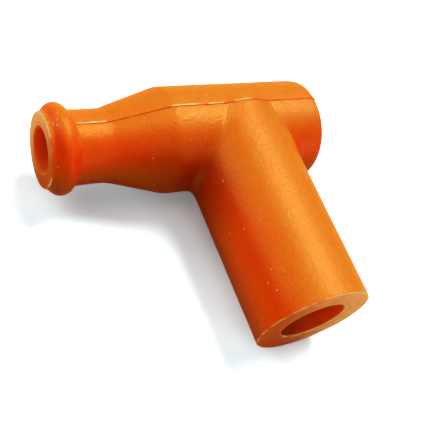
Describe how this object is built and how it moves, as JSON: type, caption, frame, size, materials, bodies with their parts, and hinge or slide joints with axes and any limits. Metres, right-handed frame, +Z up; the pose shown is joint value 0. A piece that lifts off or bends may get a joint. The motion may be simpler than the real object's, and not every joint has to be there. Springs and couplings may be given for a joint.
{
  "type": "spark plug cap",
  "caption": "Right-angle moulded silicone spark plug cap: plug bore in the barrel, lead bore in the beaded arm.",
  "frame": {"origin": "under the middle of the bounding box, on the surface that the cap lies on", "axes": "+X along the arm from the lead's mouth to the closed stub, -Y along the barrel to the plug's mouth, +Z up"},
  "size_m": [0.047, 0.0444, 0.0192],
  "materials": {
    "orange_silicone": "half-gloss moulded silicone rubber"
  },
  "bodies": {
    "root": {"boot": "orange_silicone"}
  },
  "joints": []
}
